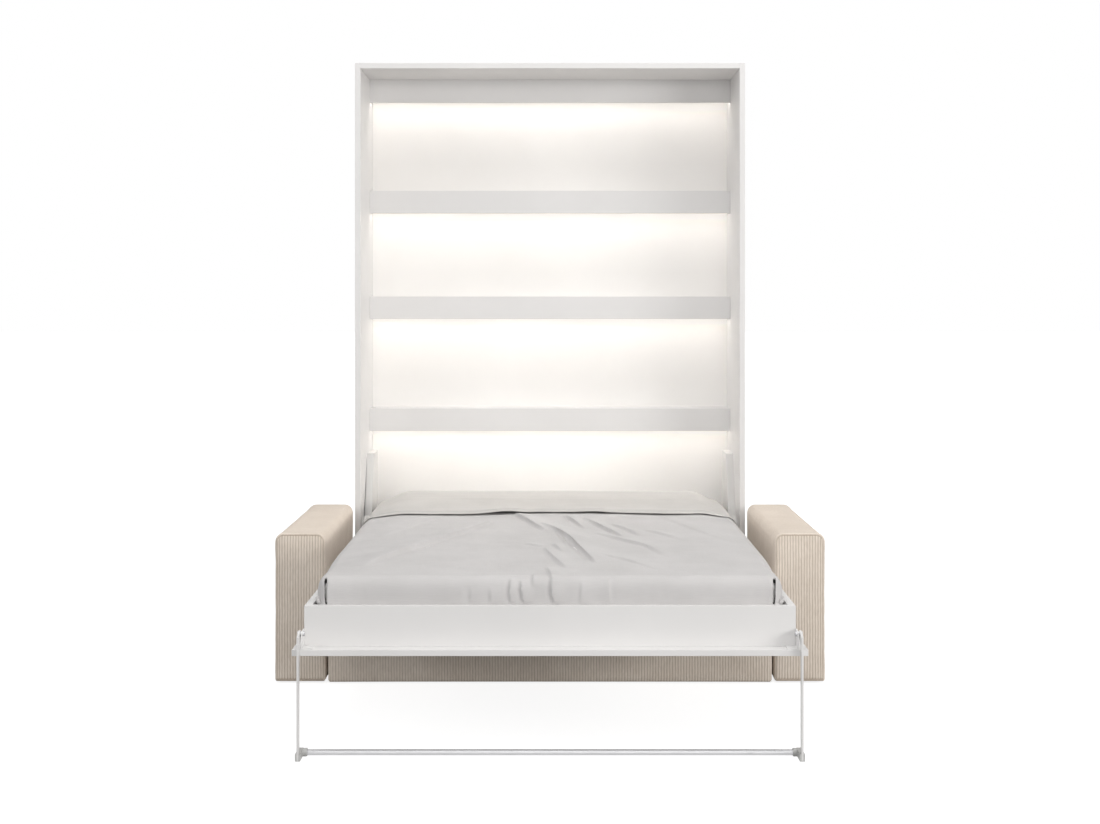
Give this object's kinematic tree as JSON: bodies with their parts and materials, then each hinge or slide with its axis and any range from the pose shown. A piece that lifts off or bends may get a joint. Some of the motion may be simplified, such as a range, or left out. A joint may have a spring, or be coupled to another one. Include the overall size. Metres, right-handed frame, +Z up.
{
  "type": "wall bed",
  "caption": "White vertical wall bed lowered over a low ribbed sofa: open lit cabinet with rails, made-up box bed on a side pivot with gas springs, and a swing-out leg.",
  "frame": {"origin": "on the floor, under the middle of the box round the whole object", "axes": "+X to the right seen from the foot of the bed, +Y towards the wall, +Z up"},
  "size_m": [1.9558, 2.212, 2.32],
  "materials": {
    "white_board": "matt white laminated board with a fine edge band",
    "white_metal": "white powder coat, slightly glossy",
    "steel": "zinc plated steel",
    "strip_profile": "satin anodised light strip profile",
    "diffuser": "opal diffuser, lit warm white",
    "white_plastic": "moulded white plastic housing",
    "dark_plastic": "dark moulded plastic glider",
    "birch": "bare birch plywood with a fine grain",
    "ticking": "pale fitted sheet of fine woven cotton",
    "duvet_cloth": "pale grey woven cotton with soft creases",
    "duvet_lining": "cream woven cotton, the duvet's lighter inner side",
    "tube_paint": "black painted gas spring tube",
    "rod_chrome": "polished hard chromed rod",
    "foot_plastic": "pale grey moulded foot",
    "rib_cloth": "beige ribbed corduroy upholstery"
  },
  "bodies": {
    "cabinet": {"side_panel_left": "white_board", "side_panel_right": "white_board", "top_panel": "white_board", "back_panel": "white_board", "plinth_board": "white_board", "rear_bottom_rail": "white_board", "rail_front_1": "white_board", "rail_front_2": "white_board", "rail_front_3": "white_board", "rail_front_4": "white_board", "shelf_2": "white_board", "shelf_3": "white_board", "shelf_4": "white_board", "light_profiles": "strip_profile", "light_diffusers": "diffuser", "light_driver": "white_plastic", "wall_brackets": "steel", "cabinet_glides": "dark_plastic", "carcass_screws": "steel", "mechanism_plate_left": "steel", "mechanism_plate_right": "steel", "mechanism_casing_left": "white_metal", "mechanism_casing_right": "white_metal", "mechanism_screws": "steel", "sofa_arm_left": "rib_cloth", "sofa_arm_right": "rib_cloth", "sofa_base": "rib_cloth", "seat_cushion_left": "rib_cloth", "seat_cushion_right": "rib_cloth", "sofa_glides": "dark_plastic", "sofa_bolts": "steel"},
    "bed": {"facade_panel": "white_board", "box_side_left": "white_board", "box_side_right": "white_board", "box_front": "white_board", "box_head": "white_board", "box_dowels": "birch", "slat_ledgers": "birch", "slats": "birch", "mattress": "ticking", "duvet": "duvet_cloth", "duvet_fold": "duvet_lining", "pivot_shaft_left": "steel", "pivot_shaft_right": "steel", "pivot_screws": "steel", "crank_left": "steel", "crank_right": "steel", "leg_bracket_left": "white_metal", "leg_bracket_right": "white_metal", "leg_pins": "steel"},
    "leg": {"leg_bar_left": "white_metal", "leg_bar_right": "white_metal", "leg_crossbar": "white_metal", "leg_foot_left": "foot_plastic", "leg_foot_right": "foot_plastic"},
    "tube_left": {"gas_tube_left": "tube_paint"},
    "tube_right": {"gas_tube_right": "tube_paint"},
    "rod_left": {"gas_rod_left": "rod_chrome"},
    "rod_right": {"gas_rod_right": "rod_chrome"}
  },
  "joints": [
    {"name": "bed_tilt", "type": "hinge", "parent": "cabinet", "child": "bed", "pos_m": [0, 0.759, 0.429], "axis": [-1, 0, 0], "range_deg": [0, 90]},
    {"name": "leg_fold", "type": "hinge", "parent": "bed", "child": "leg", "pos_m": [0, -1.064, 0.368], "axis": [-1, 0, 0], "range_deg": [0, 240]},
    {"name": "spring_swing_left", "type": "hinge", "parent": "cabinet", "child": "tube_left", "pos_m": [-0.756, 0.959, 0.659], "axis": [-1, 0, 0], "range_deg": [0, 5.4]},
    {"name": "spring_stroke_left", "type": "slide", "parent": "tube_left", "child": "rod_left", "axis": [0, -0.4626, -0.8866], "range_m": [0, 0.11]},
    {"name": "spring_swing_right", "type": "hinge", "parent": "cabinet", "child": "tube_right", "pos_m": [0.756, 0.959, 0.659], "axis": [-1, 0, 0], "range_deg": [0, 5.4]},
    {"name": "spring_stroke_right", "type": "slide", "parent": "tube_right", "child": "rod_right", "axis": [0, -0.4626, -0.8866], "range_m": [0, 0.11]}
  ],
  "couplings": [
    {"joint": "spring_swing_left", "follows": "bed_tilt", "ratio": 0.05862},
    {"joint": "spring_stroke_left", "follows": "bed_tilt", "m_per_rad": 0.06971},
    {"joint": "spring_swing_right", "follows": "bed_tilt", "ratio": 0.05862},
    {"joint": "spring_stroke_right", "follows": "bed_tilt", "m_per_rad": 0.06971}
  ]
}
